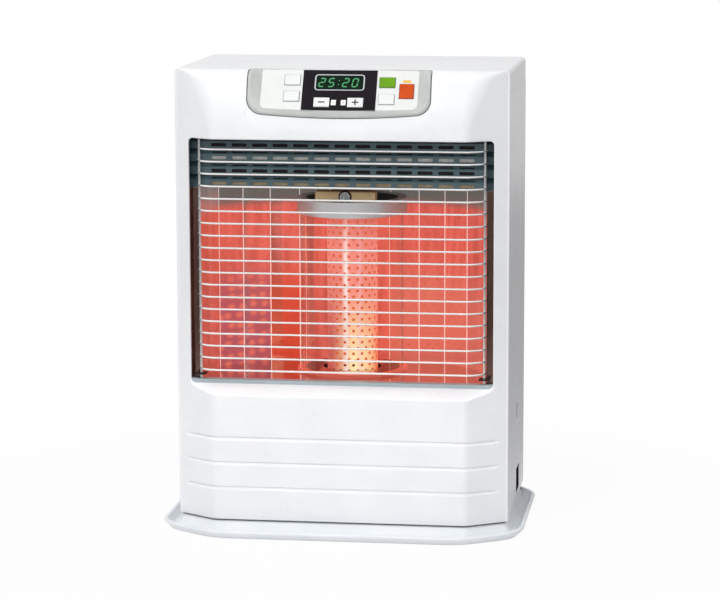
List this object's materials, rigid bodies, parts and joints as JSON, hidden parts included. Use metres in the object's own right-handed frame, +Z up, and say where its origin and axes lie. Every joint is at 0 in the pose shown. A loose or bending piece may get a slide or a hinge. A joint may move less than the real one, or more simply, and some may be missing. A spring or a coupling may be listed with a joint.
{
  "type": "paraffin heater",
  "caption": "Floor-standing flued paraffin heater with a guarded radiant window, faceted mirror reflector, glowing flame tube, louvre, digital control panel and floor tray.",
  "frame": {"origin": "on the floor, at the middle of the overall box", "axes": "+Z up, the front with its window faces -Y, +X to the right of someone facing the front"},
  "size_m": [0.548, 0.41, 0.696],
  "materials": {
    "white_enamel": "gloss white stove enamel",
    "tray_enamel": "gloss pale enamel",
    "trim_enamel": "satin blue-grey enamel",
    "galvanised_steel": "zinc coated, dull",
    "chromed_wire": "bright chrome",
    "louvre_enamel": "satin dark blue-grey enamel",
    "mirror_steel": "polished stainless sheet",
    "heat_glass": "clear heat-resistant glass",
    "dark_iron": "heat-darkened",
    "ring_steel": "bright turned steel",
    "flame_steel": "perforated heat-resistant steel, glowing",
    "clamp_enamel": "beige heat-resistant coating",
    "fan_aluminium": "plain sheet",
    "cast_aluminium": "die-cast",
    "motor_enamel": "satin black",
    "red_plastic": "moulded",
    "brass_fitting": "machined",
    "black_plastic": "moulded, fine grain",
    "black_rubber": "moulded",
    "bezel_plastic": "silver-grey moulding",
    "fascia_plastic": "white moulding",
    "display_plastic": "black, glossy",
    "lens_plastic": "translucent",
    "board_plastic": "laminate",
    "button_plastic": "white moulding",
    "green_plastic": "yellow-green moulding",
    "orange_plastic": "orange moulding"
  },
  "bodies": {
    "cabinet": {"base_tray": "tray_enamel", "plinth": "galvanised_steel", "base_plate": "galvanised_steel", "left_side_panel": "white_enamel", "right_side_panel": "white_enamel", "rear_panel": "galvanised_steel", "top_cover": "white_enamel", "front_panel": "white_enamel", "window_sill_trim": "trim_enamel", "guard_hooks": "galvanised_steel", "louvre_panel": "louvre_enamel", "reflector": "mirror_steel", "hearth_shelf": "mirror_steel", "hearth_roof": "mirror_steel", "left_cheek_plate": "mirror_steel", "right_cheek_plate": "mirror_steel", "glass_cylinder": "heat_glass", "glass_base_ring": "dark_iron", "glass_top_ring": "ring_steel", "flame_tube": "flame_steel", "flame_tube_cap": "dark_iron", "clamp_block": "clamp_enamel", "clamp_screw": "ring_steel", "burner_pot": "dark_iron", "igniter": "ring_steel", "heat_exchanger": "galvanised_steel", "flue_pipe": "ring_steel", "air_intake_pipe": "galvanised_steel", "blower_housing": "galvanised_steel", "blower_motor": "motor_enamel", "air_duct": "galvanised_steel", "fan_motor": "motor_enamel", "fan_bracket": "galvanised_steel", "rear_fan_guard": "chromed_wire", "fuel_leveller": "cast_aluminium", "fuel_inlet": "brass_fitting", "fuel_pump": "ring_steel", "fuel_pipes": "brass_fitting", "power_unit": "black_plastic", "tip_over_switch": "black_plastic", "cord_gland": "black_rubber", "panel_screws": "ring_steel", "control_bezel": "bezel_plastic", "control_fascia": "fascia_plastic", "display_panel": "display_plastic", "display_pane": "display_plastic", "indicator_lenses": "lens_plastic", "control_board": "board_plastic"},
    "minus_button_body": {"minus_button": "button_plastic"},
    "plus_button_body": {"plus_button": "button_plastic"},
    "left_upper_button_body": {"left_upper_button": "button_plastic"},
    "left_lower_button_body": {"left_lower_button": "button_plastic"},
    "right_upper_button_body": {"right_upper_button": "green_plastic"},
    "right_lower_button_body": {"right_lower_button": "button_plastic"},
    "power_button_body": {"power_button": "orange_plastic"},
    "guard": {"wire_guard": "chromed_wire"},
    "fan": {"convection_fan": "fan_aluminium"},
    "impeller": {"blower_impeller": "fan_aluminium"},
    "lever": {"reset_lever": "red_plastic"}
  },
  "joints": [
    {"name": "minus_press", "type": "slide", "parent": "cabinet", "child": "minus_button_body", "axis": [0, 0.8572, -0.515], "range_m": [0, 0.0012], "stiffness_N_per_m": 800},
    {"name": "plus_press", "type": "slide", "parent": "cabinet", "child": "plus_button_body", "axis": [0, 0.8572, -0.515], "range_m": [0, 0.0012], "stiffness_N_per_m": 800},
    {"name": "left_upper_press", "type": "slide", "parent": "cabinet", "child": "left_upper_button_body", "axis": [0, 0.8572, -0.515], "range_m": [0, 0.0012], "stiffness_N_per_m": 800},
    {"name": "left_lower_press", "type": "slide", "parent": "cabinet", "child": "left_lower_button_body", "axis": [0, 0.8572, -0.515], "range_m": [0, 0.0012], "stiffness_N_per_m": 800},
    {"name": "right_upper_press", "type": "slide", "parent": "cabinet", "child": "right_upper_button_body", "axis": [0, 0.8572, -0.515], "range_m": [0, 0.0012], "stiffness_N_per_m": 800},
    {"name": "right_lower_press", "type": "slide", "parent": "cabinet", "child": "right_lower_button_body", "axis": [0, 0.8572, -0.515], "range_m": [0, 0.0012], "stiffness_N_per_m": 800},
    {"name": "power_press", "type": "slide", "parent": "cabinet", "child": "power_button_body", "axis": [0, 0.8572, -0.515], "range_m": [0, 0.0012], "stiffness_N_per_m": 800},
    {"name": "guard_lift", "type": "slide", "parent": "cabinet", "child": "guard", "axis": [0, 0, 1], "range_m": [0, 0.01]},
    {"name": "fan_spin", "type": "hinge", "parent": "cabinet", "child": "fan", "pos_m": [0, 0.1398, 0.36], "axis": [0, 1, 0], "continuous": true},
    {"name": "impeller_spin", "type": "hinge", "parent": "cabinet", "child": "impeller", "pos_m": [-0.15, -0.007, 0.0932], "axis": [0, 1, 0], "continuous": true},
    {"name": "lever_reset", "type": "hinge", "parent": "cabinet", "child": "lever", "pos_m": [0.2248, 0.056, 0.056], "axis": [0, 1, 0], "range_deg": [0, 15], "stiffness_Nm_per_rad": 0.05}
  ]
}
